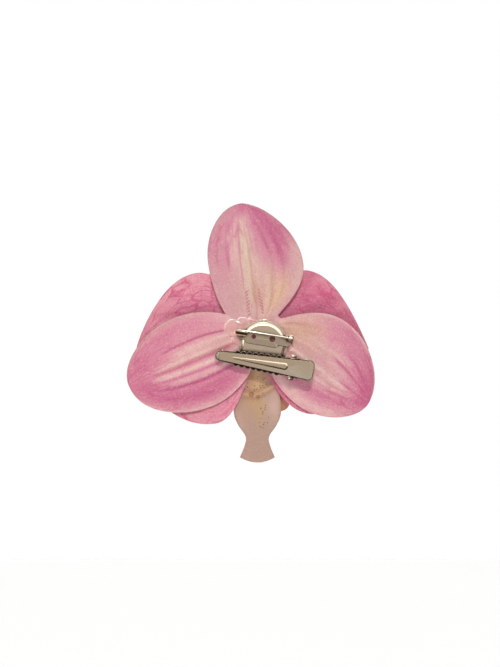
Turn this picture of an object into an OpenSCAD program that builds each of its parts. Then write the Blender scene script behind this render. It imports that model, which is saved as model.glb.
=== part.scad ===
// Orchid hair clip: a moulded two-layer flower on a round finding that carries
// a brooch bar with a hinged needle and a sprung alligator clip.
// Upright: X to the right, Z up, the metal finding on the -Y side and the
// face of the flower on the +Y side. The origin is the middle of the clip's
// bite line, where its two jaws meet. Millimetres and degrees.

/* [Finding] */
// Lean of the metal finding across the flower
finding_tilt = 9.5; // [0:0.5:15]
// Diameter of the round disc over its flange
disc_d = 20.4; // [19:0.2:21.6]
// Distance from the clip's centre line up to the disc's centre
disc_rise = 7.5; // [6.5:0.1:7.5]
// Thickness of the disc and the bar
plate_t = 0.5; // [0.4:0.05:0.5]

/* [Brooch bar] */
// Length of the bar
bar_len = 23.3; // [23:0.1:24]
// Radius of the needle's straight shank
needle_r = 0.4; // [0.3:0.02:0.4]
// Lean of the needle's hinge pin, which lets the needle pass the catch
hinge_lean = 35; // [30:1:38]

/* [Alligator clip] */
// Overall length of the clip
clip_len = 41; // [40:0.5:42]
// Half-width of the lever at its rounded tip
tip_half = 1.7; // [1.6:0.05:1.8]
// Half-width of the lever at its tail
tail_half = 3.8; // [3.7:0.05:3.9]
// Thickness of the pressed sheet steel
steel_t = 0.4; // [0.35:0.05:0.45]
// Spacing of the teeth along the jaw
tooth_pitch = 2.5; // [2.4:0.1:2.8]
// Radius of the pivot pin
pivot_r = 0.75; // [0.7:0.05:0.8]

/* [Flower] */
// Thickness of the moulded petals
petal_t = 0.6; // [0.5:0.05:0.7]
// Length of the upper sepal from the middle of the flower
upper_sepal_len = 55; // [50:1:57]
// Length of the two lower sepals
lower_sepal_len = 59; // [54:1:60]
// Length of the two broad petals
petal_len = 52.5; // [48:0.5:54]
// How far the petals' ends sweep forward
petal_sweep = 8; // [5:0.5:10]
// How far the sepals' edges curl forward
sepal_curl = 5; // [3:0.5:6]

/* [Hidden] */
$fn = 48;

// Heights above the bite line, measured out from the flower's back.
disc_top = -2.9;
disc_step = 0.9;
disc_under = disc_top - disc_step - steel_t;
bar_top = disc_top + plate_t;

// Depths along +Y of the pieces stacked on the column's peg.
sepal_y = 5.2;
petal_y = sepal_y + petal_t + 0.1;
lip_y = petal_y + petal_t + 0.15;
column_y = lip_y + petal_t + 0.05;
peg_from = 4;
hub = [-1, 12.5];
peg_r = 1.5;
hole_r = peg_r + 0.1;
washer_r = 2.6;
washer_t = 0.9;

// A lobe is its length, its bearing clockwise from straight up, and the shape
// of its left and its right side: half-width, widest station as a share of the
// length, and how bluntly it fills out towards its base and towards its tip.
upper_sepal = [upper_sepal_len, -7.5, [17, 0.58, 0.4, 0.45], [22.8, 0.48, 0.9, 0.6]];
right_sepal = [lower_sepal_len - 3.5, 123, [24, 0.5, 0.7, 0.5], [16.6, 0.58, 0.8, 0.5]];
left_sepal = [lower_sepal_len, -112, [21.5, 0.5, 0.56, 0.42], [19, 0.52, 0.6, 0.5]];
right_petal = [petal_len - 5, 98, [29, 0.36, 0.6, 0.95], [31, 0.55, 0.65, 0.45]];
left_petal = [petal_len, -99, [35.2, 0.45, 0.85, 0.42], [29, 0.42, 0.6, 0.8]];
right_side_lobe = [17, 130, [5.5, 0.6, 0.8, 0.5], [5.5, 0.6, 0.8, 0.5]];
left_side_lobe = [15, -130, [5.5, 0.6, 0.8, 0.5], [5.5, 0.6, 0.8, 0.5]];

// Half-width of one side of a lobe at station t, from 0 at its base to 1.
function half_width(side, t) =
    side[0] * (t < side[1]
        ? pow(sin(90 * t / side[1]), side[2])
        : pow(max(0, cos(90 * (t - side[1]) / (1 - side[1]))), side[3]));

// The station where a lobe's edge is seen from its base at a given angle off
// its midrib, found by halving the interval.
function edge_station(len, side, angle, lo = 0, hi = 1, steps = 18) =
    let (mid = (lo + hi) / 2)
    steps == 0 ? mid
    : atan2(half_width(side, mid), len * mid) > angle
        ? edge_station(len, side, angle, mid, hi, steps - 1)
        : edge_station(len, side, angle, lo, mid, steps - 1);

// A difference of bearings brought to between -180 and 180.
function turn(angle) = angle > 180 ? turn(angle - 360)
    : angle < -180 ? turn(angle + 360)
    : angle;

// Distance from the base to a lobe's edge along a bearing.
function lobe_radius(lobe, bearing) =
    let (off = turn(bearing - lobe[1]), side = off < 0 ? lobe[2] : lobe[3])
    abs(off) >= 90 ? 0
    : let (t = edge_station(lobe[0], side, abs(off)))
      norm([lobe[0] * t, half_width(side, t)]);

// Share of the way along the nearest lobe's midrib, for the sweep of its end.
function along(lobes, r, bearing) =
    max([for (lobe = lobes) r * max(0, cos(bearing - lobe[1])) / lobe[0]]);

// How much closer a sheet's rings lie towards its middle.
ring_bias = 1.5;
// How sharply the lobes' edges run into the round edge of the hub.
notch_power = 8;

// A thin closed sheet of several lobes round one hole. depth(r, bearing, s,
// edge) is how far forward it lies, s being the share of the way to its edge.
module lobed_sheet(lobes, hub_r, bore, depth, spokes = 120, rings = 8) {
    edges = [for (i = [0:spokes - 1])
        let (reach = max([for (lobe = lobes) lobe_radius(lobe, 360 * i / spokes)]))
        pow(pow(reach, notch_power) + pow(hub_r, notch_power), 1 / notch_power)];
    function sheet_point(i, j, lift) =
        let (b = 360 * i / spokes, s = pow(j / rings, ring_bias), r = bore + (edges[i] - bore) * s)
        [r * sin(b), depth(r, b, s, edges[i]) + lift, r * cos(b)];
    function at(i, j, layer) = (layer * (rings + 1) + j) * spokes + i % spokes;
    points = [for (layer = [0, 1]) for (j = [0:rings]) for (i = [0:spokes - 1])
        sheet_point(i, j, layer * petal_t)];
    back = [for (j = [0:rings - 1]) for (i = [0:spokes - 1]) each
        [[at(i, j, 0), at(i, j + 1, 0), at(i + 1, j + 1, 0)],
         [at(i, j, 0), at(i + 1, j + 1, 0), at(i + 1, j, 0)]]];
    front = [for (f = back) [for (k = [2, 1, 0]) f[k] + (rings + 1) * spokes]];
    rims = [for (i = [0:spokes - 1]) each
        [[at(i + 1, rings, 0), at(i, rings, 0), at(i, rings, 1)],
         [at(i + 1, rings, 0), at(i, rings, 1), at(i + 1, rings, 1)],
         [at(i, 0, 0), at(i + 1, 0, 0), at(i + 1, 0, 1)],
         [at(i, 0, 0), at(i + 1, 0, 1), at(i, 0, 1)]]];
    polyhedron(points, concat(back, front, rims));
}

// Stations down the lip from its tab to its foot: height above the middle of
// the flower and half-width.
lip_stations = [[4, 1], [2, 3.4], [-2, 4], [-7, 3.4], [-13, 3.6], [-19, 6.5], [-26, 9.5],
                [-34, 10.1], [-39, 8.4], [-44, 5.2], [-48, 5.6], [-53, 7.6]];
lip_slope = 0.2;
lip_flat = 4;
lip_foot_bow = 2.2;
lip_right_trim = 0.4;
lip_peg = [-2.8, -26.2];
lip_peg_r = 1;
lip_pip = [0, -27.3];
lip_pip_r = 0.7;
side_lobe_base = [-0.5, -21];
side_lobe_hub_r = 7;
side_lobe_gap = 0.3;
side_lobe_flare = 4;

function lip_depth(z) = lip_y + lip_slope * max(0, -z - lip_flat);

// A smooth value between p[1] and p[2], with p[0] and p[3] beyond them.
function smooth(p, f) =
    0.5 * (2 * p[1] + (p[2] - p[0]) * f + (2 * p[0] - 5 * p[1] + 4 * p[2] - p[3]) * f * f
        + (3 * p[1] - p[0] - 3 * p[2] + p[3]) * f * f * f);

module lip_plate(steps = 3, across = 8) {
    last = len(lip_stations) - 1;
    function station(k) = lip_stations[max(0, min(last, k))];
    rows = [for (k = [0:last - 1]) for (i = [0:steps - 1])
        smooth([for (m = [-1:2]) station(k + m)], i / steps)];
    all_rows = concat(rows, [lip_stations[last]]);
    n = len(all_rows);
    w = across + 1;
    function lip_point(i, j, lift) =
        let (u = 2 * j / across - 1, row = all_rows[i],
             z = row[0] - lip_foot_bow * (1 - u * u) * pow(i / (n - 1), 6))
        [u * (row[1] - (u > 0 ? lip_right_trim : 0)), lip_depth(z) + lift, z];
    points = [for (layer = [0, 1]) for (i = [0:n - 1]) for (j = [0:across])
        lip_point(i, j, layer * petal_t)];
    back = [for (i = [0:n - 2]) for (j = [0:across - 1]) each
        [[i * w + j, i * w + j + 1, (i + 1) * w + j + 1],
         [i * w + j, (i + 1) * w + j + 1, (i + 1) * w + j]]];
    front = [for (f = back) [for (k = [2, 1, 0]) f[k] + n * w]];
    ring = concat([for (j = [0:across]) j],
                  [for (i = [1:n - 1]) i * w + across],
                  [for (j = [across - 1:-1:0]) (n - 1) * w + j],
                  [for (i = [n - 2:-1:1]) i * w]);
    rim = [for (k = [0:len(ring) - 1])
        let (a = ring[k], b = ring[(k + 1) % len(ring)])
        each [[b, a, a + n * w], [b, a + n * w, b + n * w]]];
    polyhedron(points, concat(back, front, rim));
}

module on_flower() translate([hub[0], 0, hub[1]]) children();

// A cylinder along +Y that starts at depth y.
module pillar(y, len, r) translate([0, y, 0]) rotate([-90, 0, 0]) cylinder(h = len, r = r);

// The finding's frame: x along the clip, y up the flower, z out of its back.
module on_finding() rotate([0, finding_tilt, 0]) rotate([90, 0, 0]) children();

module sepal_sheet() color([0.9, 0.62, 0.72]) on_flower()
    lobed_sheet([upper_sepal, right_sepal, left_sepal], 11, hole_r,
        function(r, b, s, edge) sepal_y + sepal_curl * pow(edge / lower_sepal_len, 2) * pow(s, 3));

// The petals ease forward off the sepals just outside the hub, more at the top
// than beside the lip, then sweep on.
petal_rise = 4;
petal_top_rise = 1.5;
petal_rise_from = 6;
petal_ease = 8;
module petal_sheet() color([0.82, 0.4, 0.58]) on_flower()
    lobed_sheet([right_petal, left_petal], 9, hole_r,
        function(r, b, s, edge) petal_y
            + (petal_rise + petal_top_rise * cos(b))
                * (1 - exp(-max(0, r - petal_rise_from) / petal_ease))
            + petal_sweep * pow(along([right_petal, left_petal], r, b), 2));

module lip_blade() color([0.78, 0.6, 0.52]) on_flower() difference() {
    lip_plate();
    pillar(lip_y - 1, 3, hole_r);
    translate([lip_peg[0], 0, lip_peg[1]]) pillar(lip_y, 8, lip_peg_r);
    translate([lip_pip[0], 0, lip_pip[1]]) pillar(lip_y, 8, lip_pip_r);
}

// The side lobes' two pegs pass through the lip and are headed behind it.
module lip_side_lobes() color([0.72, 0.45, 0.32]) on_flower() {
    lift = petal_t + side_lobe_gap;
    translate([side_lobe_base[0], 0, side_lobe_base[1]])
        lobed_sheet([right_side_lobe, left_side_lobe], side_lobe_hub_r, 0.5,
            function(r, b, s, edge) lip_depth(side_lobe_base[1] + r * cos(b)) + lift
                + side_lobe_flare * pow(max(0, r - side_lobe_hub_r) / 12, 2), 48, 4);
    for (peg = [[lip_peg, lip_peg_r], [lip_pip, lip_pip_r]])
        translate([peg[0][0], 0, peg[0][1]])
            pillar(lip_depth(peg[0][1]) - 0.4, lift + 0.7, peg[1] - 0.05);
}

column_len = 10;
column_neck_r = 2.3;
column_head_r = 3.1;
module column() color([0.93, 0.8, 0.82]) on_flower() {
    translate([0, column_y, 0]) rotate([-90, 0, 0]) rotate_extrude()
        polygon([[0, 0], [4, 0], [4, 0.6], [column_neck_r + 0.4, 1.6], [column_neck_r, 3.5],
                 [column_head_r - 0.2, column_len - 2], [column_head_r, column_len],
                 [0, column_len]]);
    pillar(peg_from, column_y + 0.2 - peg_from, peg_r);
}

module anther_cap() color([0.97, 0.93, 0.88]) on_flower()
    translate([0, column_y + column_len, 0]) rotate([-90, 0, 0]) intersection() {
        sphere(r = column_head_r);
        cylinder(h = column_head_r, r = column_head_r);
    }

module retaining_washer() color([0.85, 0.85, 0.82]) on_flower() difference() {
    pillar(sepal_y - washer_t, washer_t, washer_r);
    pillar(sepal_y - washer_t - 0.1, washer_t + 0.2, peg_r);
}

// The pad stops just short of the sheet and of the disc's flange.
pad_gap = 0.01;
module glue_pad() color([0.93, 0.72, 0.7]) difference() {
    on_finding() translate([0, disc_rise, 0]) {
        translate([0, 0, pad_gap - sepal_y])
            cylinder(h = sepal_y + disc_under - 2 * pad_gap, r = disc_d / 2 - 0.6);
        translate([0, 0, disc_under - 0.1]) cylinder(h = 0.85, r = disc_d / 2 - 1.95);
    }
    on_flower() {
        pillar(sepal_y - washer_t - 0.1, 2, washer_r + 0.05);
        pillar(peg_from - 0.5, 3, hole_r);
    }
    on_finding() translate([rivet_at[0], rivet_at[1], disc_under - 0.5])
        cylinder(h = 2, r = rivet_head_r + 0.1);
}

// Domes of glue squeezed out beside the disc: x and z of each and its radius.
glue_domes = [[-11.5, 14.4, 3.8], [-7.4, 16.4, 2.8]];
dome_h = 1;
module glue_bead() color([0.95, 0.76, 0.76]) difference() {
    for (dome = glue_domes) {
        r = (dome[2] * dome[2] + dome_h * dome_h) / (2 * dome_h);
        translate([dome[0], sepal_y - 0.05, dome[1]]) rotate([90, 0, 0]) intersection() {
            translate([0, 0, dome_h - r]) sphere(r = r, $fn = 180);
            cylinder(h = dome_h + 1, r = dome[2] + 1);
        }
    }
    on_finding() translate([0, disc_rise, -sepal_y - 1]) cylinder(h = 9, r = disc_d / 2 + 0.05);
}

disc_r = disc_d / 2;
flange_w = 0.9;
slope_w = 0.6;
rivet_at = [0, 0.8];
rivet_r = 0.7;
rivet_head_r = 1.2;
bar_holes = [[-4.5, 10.2, 0.95], [3.4, 10.5, 1.25]];

module bar_hole_cutters() for (h = bar_holes)
    translate([h[0], h[1], disc_under - 1]) cylinder(h = 6, r = h[2]);

module disc_plate() color([0.66, 0.62, 0.54]) on_finding() difference() {
    translate([0, disc_rise, 0]) rotate_extrude($fn = 96)
        polygon([[0, disc_top], [disc_r - flange_w - slope_w - 0.5, disc_top],
                 [disc_r - flange_w - slope_w, disc_top - 0.12],
                 [disc_r - flange_w - 0.25, disc_top - 0.5],
                 [disc_r - flange_w, disc_top - disc_step], [disc_r, disc_top - disc_step],
                 [disc_r, disc_under], [disc_r - flange_w - 0.4, disc_under],
                 [disc_r - flange_w - slope_w - 0.3, disc_top - plate_t],
                 [0, disc_top - plate_t]]);
    bar_hole_cutters();
    translate([rivet_at[0], rivet_at[1], disc_top - 2]) cylinder(h = 3, r = rivet_r);
}

// Brooch bar: needle line, catch at the left end and hinge at the right end.
bar_left = -11.8;
bar_upper = 12.2;
needle_v = 12;
needle_n = -0.9;
hinge_u = 10.9;
catch_u = -9.9;
catch_r = 2.65;
hook_r = 2.2;
hook_v = 11.35;
hook_n = -2;
hook_lip_v = 11.7;
ear_in = 0.55;
ear_t = 0.4;
ear_r = 1.2;
eye_r = 1;
rivet_pin_r = 0.45;

// The needle hinge's frame: z along its pin, -x along the closed needle.
module on_hinge() translate([hinge_u, needle_v, needle_n])
    rotate([-90 - hinge_lean, 0, 0]) children();

module bar_outline() {
    waist = 3.8;
    translate([bar_left + 1.6, bar_upper - waist]) square([bar_len - 3.2, waist]);
    for (u = [bar_left + 1.9, bar_left + bar_len - 1.9])
        translate([u, bar_upper - waist / 2]) circle(r = waist / 2);
    hull() for (u = [-6.5, 4.8]) translate([u, bar_upper - 3.5]) circle(r = 1.5, $fn = 32);
}

// Hook of the catch, an arc that rises from the bar and ends short of the
// needle so that the needle can swing out past it.
module catch_hook() intersection() {
    translate([catch_u, hook_v + 0.3, bar_top - 0.2]) cylinder(h = 4, r = catch_r);
    translate([catch_u + 4, 0, 0]) rotate([90, 0, -90]) linear_extrude(8) intersection() {
        difference() {
            union() {
                translate([-hook_v, hook_n]) circle(r = hook_r);
                translate([-hook_v, bar_top - 0.2]) square([hook_r, hook_n - bar_top + 0.2]);
            }
            translate([-hook_v, hook_n]) circle(r = hook_r - steel_t);
            translate([-hook_v, bar_top - 0.3]) square([hook_r - steel_t, 1]);
        }
        translate([-hook_lip_v, bar_top - 0.2]) square([4, 4]);
    }
}

module hinge_ears() difference() {
    intersection() {
        on_hinge() for (side = [-1, 1])
            translate([0, 0, side * (ear_in + ear_t / 2) - ear_t / 2]) {
                cylinder(h = ear_t, r = ear_r);
                translate([-ear_r, 0, 0]) cube([2 * ear_r, 4, ear_t]);
            }
        translate([0, 0, bar_top - 0.2]) linear_extrude(5) square(60, center = true);
    }
    on_hinge() cylinder(h = 4, r = rivet_pin_r + 0.03, center = true);
}

module pin_bar() color([0.6, 0.56, 0.5]) on_finding() {
    difference() {
        translate([0, 0, disc_top]) linear_extrude(plate_t) bar_outline();
        bar_hole_cutters();
    }
    catch_hook();
    hinge_ears();
}

// Along the bar: where the needle's round shank starts, where its taper starts
// and where it ends. A square neck, sunk a little into the shank, joins it to
// the eye.
shank_from = 9.3;
shank_to = -7;
needle_tip = -12;
neck_half = 0.26;
neck_sunk = 0.3;
module pin_needle() color([0.75, 0.73, 0.7]) on_finding() difference() {
    union() {
        on_hinge() cylinder(h = 2 * needle_r, r = eye_r, center = true);
        on_hinge() translate([shank_from - neck_sunk - hinge_u, -neck_half, -neck_half])
            cube([hinge_u - shank_from + neck_sunk - 0.7, 2 * neck_half, 2 * neck_half]);
        translate([shank_from, needle_v, needle_n]) rotate([0, -90, 0])
            cylinder(h = shank_from - shank_to, r = needle_r);
        translate([shank_to, needle_v, needle_n]) rotate([0, -90, 0])
            cylinder(h = shank_to - needle_tip, r1 = needle_r, r2 = 0.08);
    }
    on_hinge() cylinder(h = 4, r = rivet_pin_r + 0.05, center = true);
}

module needle_rivet() color([0.7, 0.68, 0.64]) on_finding() on_hinge() {
    outer = ear_in + ear_t;
    head_t = 0.3;
    cylinder(h = 2 * outer, r = rivet_pin_r, center = true);
    for (side = [-1, 1])
        translate([0, 0, side * (outer + head_t / 2)])
            cylinder(h = head_t, r = 0.8, center = true);
}

// Alligator clip, lever closed on the lower jaw.
clip_tip = -18.7;
clip_tail = clip_tip + clip_len;
pivot_u = 13.5;
pivot_n = 1;
jaw_grow = 0.65;
lever_slope = 5.3;
lever_rise = 3;
corner_r = 1.8;
tail_top = -1.6;
bite_gap = 0.05;

// Plan of the clip, grown or shrunk all round.
module clip_plan(grow) hull() {
    translate([clip_tip + tip_half, 0]) circle(r = tip_half + grow, $fn = 32);
    for (side = [-1, 1])
        translate([clip_tail - corner_r, side * (tail_half - corner_r)])
            circle(r = corner_r + grow, $fn = 32);
}

// A prism across the clip over a side view drawn as x along it and y out of it.
module side_view() translate([0, 6, 0]) rotate([90, 0, 0]) linear_extrude(12) children();

function lever_half(u) = tip_half + (tail_half - tip_half) * (u - clip_tip) / clip_len;

// Scallops along both edges of the jaw. Each is a wall round a pocket, and the
// teeth are what is left between the pockets.
pocket_from = -10;
pocket_count = 8;
pocket_r = 1;
pocket_wall = 0.25;
module jaw_scallops(r, from, h) for (i = [0:pocket_count - 1]) for (side = [-1, 1]) {
    u = pocket_from + i * tooth_pitch;
    translate([u, side * (lever_half(u) + 0.05), from]) cylinder(h = h, r = r);
}

module clip_lower_jaw() color([0.5, 0.47, 0.42]) on_finding() difference() {
    union() {
        intersection() {
            translate([0, 0, disc_top]) linear_extrude(6) clip_plan(jaw_grow);
            side_view() {
                polygon([[clip_tip - 1, disc_top], [clip_tail + 1, disc_top],
                         [clip_tail + 1, tail_top], [pivot_u + 3, tail_top],
                         [pivot_u + 2, pivot_n], [pivot_u - 2, pivot_n],
                         [pivot_u - 3, 0], [clip_tip - 1, 0]]);
                translate([pivot_u, pivot_n]) circle(r = 2);
            }
        }
        jaw_scallops(pocket_r + pocket_wall, disc_top, -disc_top);
    }
    translate([0, 0, disc_top + steel_t]) linear_extrude(6) clip_plan(jaw_grow - steel_t);
    jaw_scallops(pocket_r, disc_top + steel_t, 6);
    translate([pivot_u, 0, pivot_n]) rotate([90, 0, 0])
        cylinder(h = 12, r = pivot_r, center = true);
    translate([rivet_at[0], rivet_at[1], disc_top - 1]) cylinder(h = 2, r = rivet_r);
}

// Turns its children with the lever's top plate about the pivot.
module on_lever() translate([pivot_u, 0, pivot_n]) rotate([0, -lever_slope, 0]) children();

// The embossed rib that stiffens the lever, widening towards the pivot.
module lever_rib() on_lever() translate([0, 0, lever_rise - 0.05]) hull() {
    translate([-24.5, 0, 0]) cylinder(h = 0.2, r1 = 0.45, r2 = 0.25, $fn = 32);
    translate([-3, 0, 0]) cylinder(h = 0.6, r1 = 1.5, r2 = 0.95, $fn = 32);
}

module clip_lever() color([0.68, 0.64, 0.56]) on_finding() {
    difference() {
        intersection() {
            translate([0, 0, bite_gap - 2]) linear_extrude(10) clip_plan(0);
            union() {
                side_view() translate([pivot_u, pivot_n]) circle(r = 1.9);
                side_view() translate([pivot_u, pivot_n]) rotate(lever_slope)
                    polygon([[-34, 0.4], [-34, lever_rise], [12, lever_rise], [12, lever_rise - 1.4],
                             [2.5, lever_rise - 1.4], [1.9, 0], [-1.9, 0], [-2.5, 0.4]]);
                side_view() polygon([[clip_tip - 1, bite_gap], [clip_tip - 1, 0.8],
                                     [pivot_u - 1.5, 2.6], [pivot_u - 1.5, bite_gap]]);
            }
        }
        intersection() {
            translate([0, 0, -3]) linear_extrude(12) clip_plan(-steel_t);
            side_view() translate([pivot_u, pivot_n]) rotate(lever_slope)
                translate([-40, -8]) square([60, 8 + lever_rise - steel_t]);
        }
        translate([pivot_u, 0, pivot_n]) rotate([90, 0, 0])
            cylinder(h = 12, r = pivot_r + 0.05, center = true);
    }
    lever_rib();
}

pin_head_r = 1.35;
pin_head_t = 1.1;
module clip_pivot_pin() color([0.72, 0.7, 0.66]) on_finding()
    translate([pivot_u, 0, pivot_n]) rotate([90, 0, 0]) {
        reach = lever_half(pivot_u + pin_head_r) + jaw_grow + 0.1;
        cylinder(h = 2 * reach, r = pivot_r, center = true);
        for (side = [-1, 1]) translate([0, 0, side * (reach + pin_head_t / 2)])
            cylinder(h = pin_head_t, r = pin_head_r, center = true);
    }

// A rod across the clip's side view, from p to q.
module side_rod(p, q, v, r) translate([p[0], v, p[1]])
    rotate([0, 90 - atan2(q[1] - p[1], q[0] - p[0]), 0]) cylinder(h = norm(q - p), r = r);

coil_in = 0.95;
wire_r = 0.3;
leg_r = 0.25;
coil_half = 1.4;
module clip_spring() color([0.6, 0.6, 0.62]) on_finding() {
    translate([pivot_u, 0, pivot_n]) rotate([90, 0, 0]) difference() {
        cylinder(h = 2 * coil_half, r = coil_in + 2 * wire_r, center = true);
        cylinder(h = 4 * coil_half, r = coil_in, center = true);
    }
    leg_v = coil_half - wire_r - 0.05;
    side_rod([pivot_u, pivot_n + coil_in + wire_r], [pivot_u + 6.5, 3.8], leg_v, leg_r);
    side_rod([pivot_u, pivot_n - coil_in - wire_r], [pivot_u + 6.5, -2.1], -leg_v, leg_r);
}

module clip_rivet() color([0.7, 0.68, 0.62]) on_finding() translate(rivet_at) {
    head_t = 0.3;
    translate([0, 0, disc_top - plate_t]) cylinder(h = plate_t + steel_t, r = rivet_r);
    translate([0, 0, disc_top + steel_t]) cylinder(h = head_t, r = rivet_head_r);
    translate([0, 0, disc_top - plate_t - head_t]) cylinder(h = head_t, r = rivet_head_r);
}

sepal_sheet();
petal_sheet();
lip_blade();
lip_side_lobes();
column();
anther_cap();
retaining_washer();
glue_pad();
glue_bead();
disc_plate();
pin_bar();
pin_needle();
needle_rivet();
clip_lower_jaw();
clip_lever();
clip_pivot_pin();
clip_spring();
clip_rivet();
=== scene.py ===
"""Looks of an orchid hair clip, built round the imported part.

The row frame: X to the right, Z up, and -Y out of the flower's back, towards the
camera. Blender works in metres; the shapes below are worked out in millimetres, as
in the part's source, and scaled by MM when their meshes are made. Colours are
written as screen values from 0 to 255.
"""

import math

import bpy
import numpy as np
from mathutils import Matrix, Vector


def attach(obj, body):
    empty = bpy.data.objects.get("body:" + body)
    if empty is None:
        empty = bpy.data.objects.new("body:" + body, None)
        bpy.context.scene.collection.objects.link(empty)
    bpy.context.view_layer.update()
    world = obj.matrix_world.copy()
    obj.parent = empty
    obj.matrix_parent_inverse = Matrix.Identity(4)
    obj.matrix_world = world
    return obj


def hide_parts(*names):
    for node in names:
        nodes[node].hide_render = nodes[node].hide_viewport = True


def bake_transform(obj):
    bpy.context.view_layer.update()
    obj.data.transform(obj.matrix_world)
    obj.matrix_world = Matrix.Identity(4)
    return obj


MM = 0.001

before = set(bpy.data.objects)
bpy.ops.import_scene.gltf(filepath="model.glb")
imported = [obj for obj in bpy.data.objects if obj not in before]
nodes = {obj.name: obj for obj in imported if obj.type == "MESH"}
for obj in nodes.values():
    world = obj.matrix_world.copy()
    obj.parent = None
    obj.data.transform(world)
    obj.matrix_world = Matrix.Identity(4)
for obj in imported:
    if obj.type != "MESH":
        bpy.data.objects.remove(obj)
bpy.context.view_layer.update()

# ---------------- dimensions
# The finding, as in the part's source.
FINDING_TILT = math.radians(9.5)
DISC_RISE = 7.5
DISC_R = 10.2
PIVOT = (13.5, 1.0)

# The spring: its coil's radius, half-width along the pivot pin, turns and points; the
# places of its legs' points, along and out from the pivot; its wire, which is drawn a
# little thinner than the part's; and the half-width of the stretch that twists.
COIL_R = 1.25
COIL_HALF = 1.1
COIL_TURNS = 4.25
COIL_STEPS = 60
LOWER_LEG = ((6.5, -3.1), (3.0, -2.1))
UPPER_LEG = ((3.0, 1.9), (6.5, 2.7))
WIRE_R = 0.3
DRAWN_WIRE_R = WIRE_R * 0.85

# Glue beside the disc: each drop's middle and radius, the first two as in the part's
# source, and a run of smaller drops on the disc's right. A run's bearings go
# clockwise from straight up as the camera sees it.
GLUE_DROPS = ((-11.5, 14.4, 3.8), (-7.4, 16.4, 2.8), (-4.2, 17.2, 1.7), (-10.6, 9.6, 1.9))
GLUE_DROPS_BEARINGS = (-105, 20)
GLUE_RUN = ((11.6, 6.4, 1.9), (10.6, 2.6, 1.6))
GLUE_RUN_BEARINGS = (62, 130)
GLUE_HEIGHT = 0.9

# The flower's middle, the hole for its peg, and its layers' thickness and depths.
HUB = (-1.0, 12.5)
HOLE_R = 1.6
SHEET_T = 0.6
SEPAL_Y = 5.2
PETAL_Y = 5.9
LIP_Y = 6.65

# The round middles that the lobes grow from, and how tightly an outline follows both.
SEPAL_HUB_R = 11
PETAL_HUB_R = 9
NOTCH_POWER = 8

# Fineness of the sheets' meshes.
SPOKES = 540
SEPAL_RINGS = 84
PETAL_RINGS = 72
SIDE_LOBE_SPOKES = 240
SIDE_LOBE_RINGS = 30

# How the layers bend: the sepals' curl at SEPAL_LEN and the roll of their sides, the
# petals' rise round the middle and sweep at the tip, and ripples near their edge, each
# with its height, waves round the flower and phase.
SEPAL_CURL = 5.0
SEPAL_LEN = 59.0
SEPAL_ROLL = 1.6
EDGE_THINNING = 0.45
PETAL_SWEEP = 8.0
PETAL_RISE = 4.0
PETAL_TOP_RISE = 1.5
PETAL_RISE_FROM = 6
PETAL_RISE_REACH = 8
PETAL_RIPPLES = ((0.5, 9, 1), (0.35, 17, 0), (0.25, 31, 2))
RIPPLE_LIFT = 0.8
RIPPLE_SHARE = 0.6

# A lobe: length, bearing clockwise from straight up as the camera sees it, and its
# left and right side as half-width, widest station, base power and tip power.
UPPER_SEPAL = (55, -7.5, (17, 0.58, 0.4, 0.45), (22.8, 0.48, 0.9, 0.6))
RIGHT_SEPAL = (55.5, 123, (24, 0.5, 0.7, 0.5), (16.6, 0.58, 0.8, 0.5))
LEFT_SEPAL = (59, -112, (21.5, 0.5, 0.56, 0.42), (19, 0.52, 0.6, 0.5))
RIGHT_PETAL = (47.5, 98, (29, 0.36, 0.6, 0.95), (31, 0.55, 0.65, 0.45))
LEFT_PETAL = (52.5, -99, (35.2, 0.45, 0.85, 0.42), (29, 0.42, 0.6, 0.8))
SIDE_LOBE = (5.5, 0.6, 0.8, 0.5)
RIGHT_SIDE_LOBE = (17, 130, SIDE_LOBE, SIDE_LOBE)
LEFT_SIDE_LOBE = (15, -130, SIDE_LOBE, SIDE_LOBE)

# Slanting ridges in a column on each side of the upper sepal's midrib: each column's
# name and distance from the midrib, and the ridges' number, places and size.
RIDGE_COLUMNS = (("left", -2.4), ("right", 2.9))
RIDGES = 8
RIDGES_FROM = 8.2
RIDGE_PITCH = 1.35
RIDGE_LEAN = math.radians(52)
RIDGE_HALF_LENGTH = 1.1
RIDGE_HALF_WIDTH = 0.3
RIDGE_HEIGHT = 0.25
RIDGE_SUNK = 0.05

# The lip: height from the flower's middle and half-width, from tab to foot.
LIP_STATIONS = ((4, 1), (2, 3.4), (-2, 4), (-7, 3.4), (-13, 3.6), (-19, 6.5), (-26, 9.5),
                (-34, 10.1), (-39, 8.4), (-44, 5.2), (-48, 5.6), (-53, 7.6))
LIP_STEPS = 12
LIP_COLUMNS = 56
LIP_SLOPE = 0.2
LIP_FLAT = 4.0
LIP_FOOT_BOW = 2.2
LIP_RIGHT_TRIM = 0.4

# The side lobes behind the lip, and the heads of their two pegs: name, place and the
# radius of the lip's hole, the gap in it, and how far the heads stand out of the lip.
SIDE_LOBE_BASE = (-0.5, -21.0)
SIDE_LOBE_HUB_R = 7.0
SIDE_LOBE_HOLE_R = 0.5
SIDE_LOBE_GAP = 0.3
SIDE_LOBE_FLARE = 4.0
SIDE_LOBE_FLARE_REACH = 12
PEGS = (("lip_peg_large", (-2.8, -26.2, 1.0)), ("lip_peg_small", (0.0, -27.3, 0.7)))
PEG_GAP = 0.05
PEG_PROUD = 1.4
PEG_LENGTH = 2.5

# ---------------- colours
# What is left of a seen colour in the latex itself, once the pink light that the
# layers throw on each other is taken away.
LATEX_SHARE = (0.88, 1.02, 0.91)
LIP_SHARE = (0.78, 0.77, 0.74)

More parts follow.
